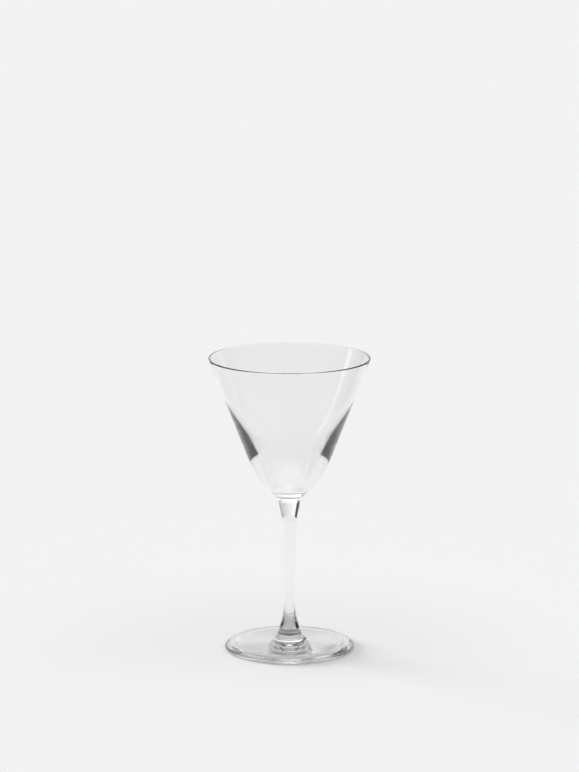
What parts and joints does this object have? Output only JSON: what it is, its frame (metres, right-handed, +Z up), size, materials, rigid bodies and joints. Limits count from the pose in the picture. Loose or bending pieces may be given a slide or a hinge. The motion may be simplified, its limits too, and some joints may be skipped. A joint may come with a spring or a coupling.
{
  "type": "martini glass",
  "caption": "Clear stemmed cocktail glass: straight V-shaped bowl with a thick rounded base, slender flared stem and round foot.",
  "frame": {"origin": "middle of the foot's underside, on the surface it stands on", "axes": "+Z up along the axis of the glass; X and Y are level and interchangeable"},
  "size_m": [0.0974, 0.0974, 0.18],
  "materials": {
    "clear_glass": "clear soda-lime glass, fire-polished"
  },
  "bodies": {
    "root": {"bowl": "clear_glass", "stem": "clear_glass", "foot": "clear_glass"}
  },
  "joints": []
}
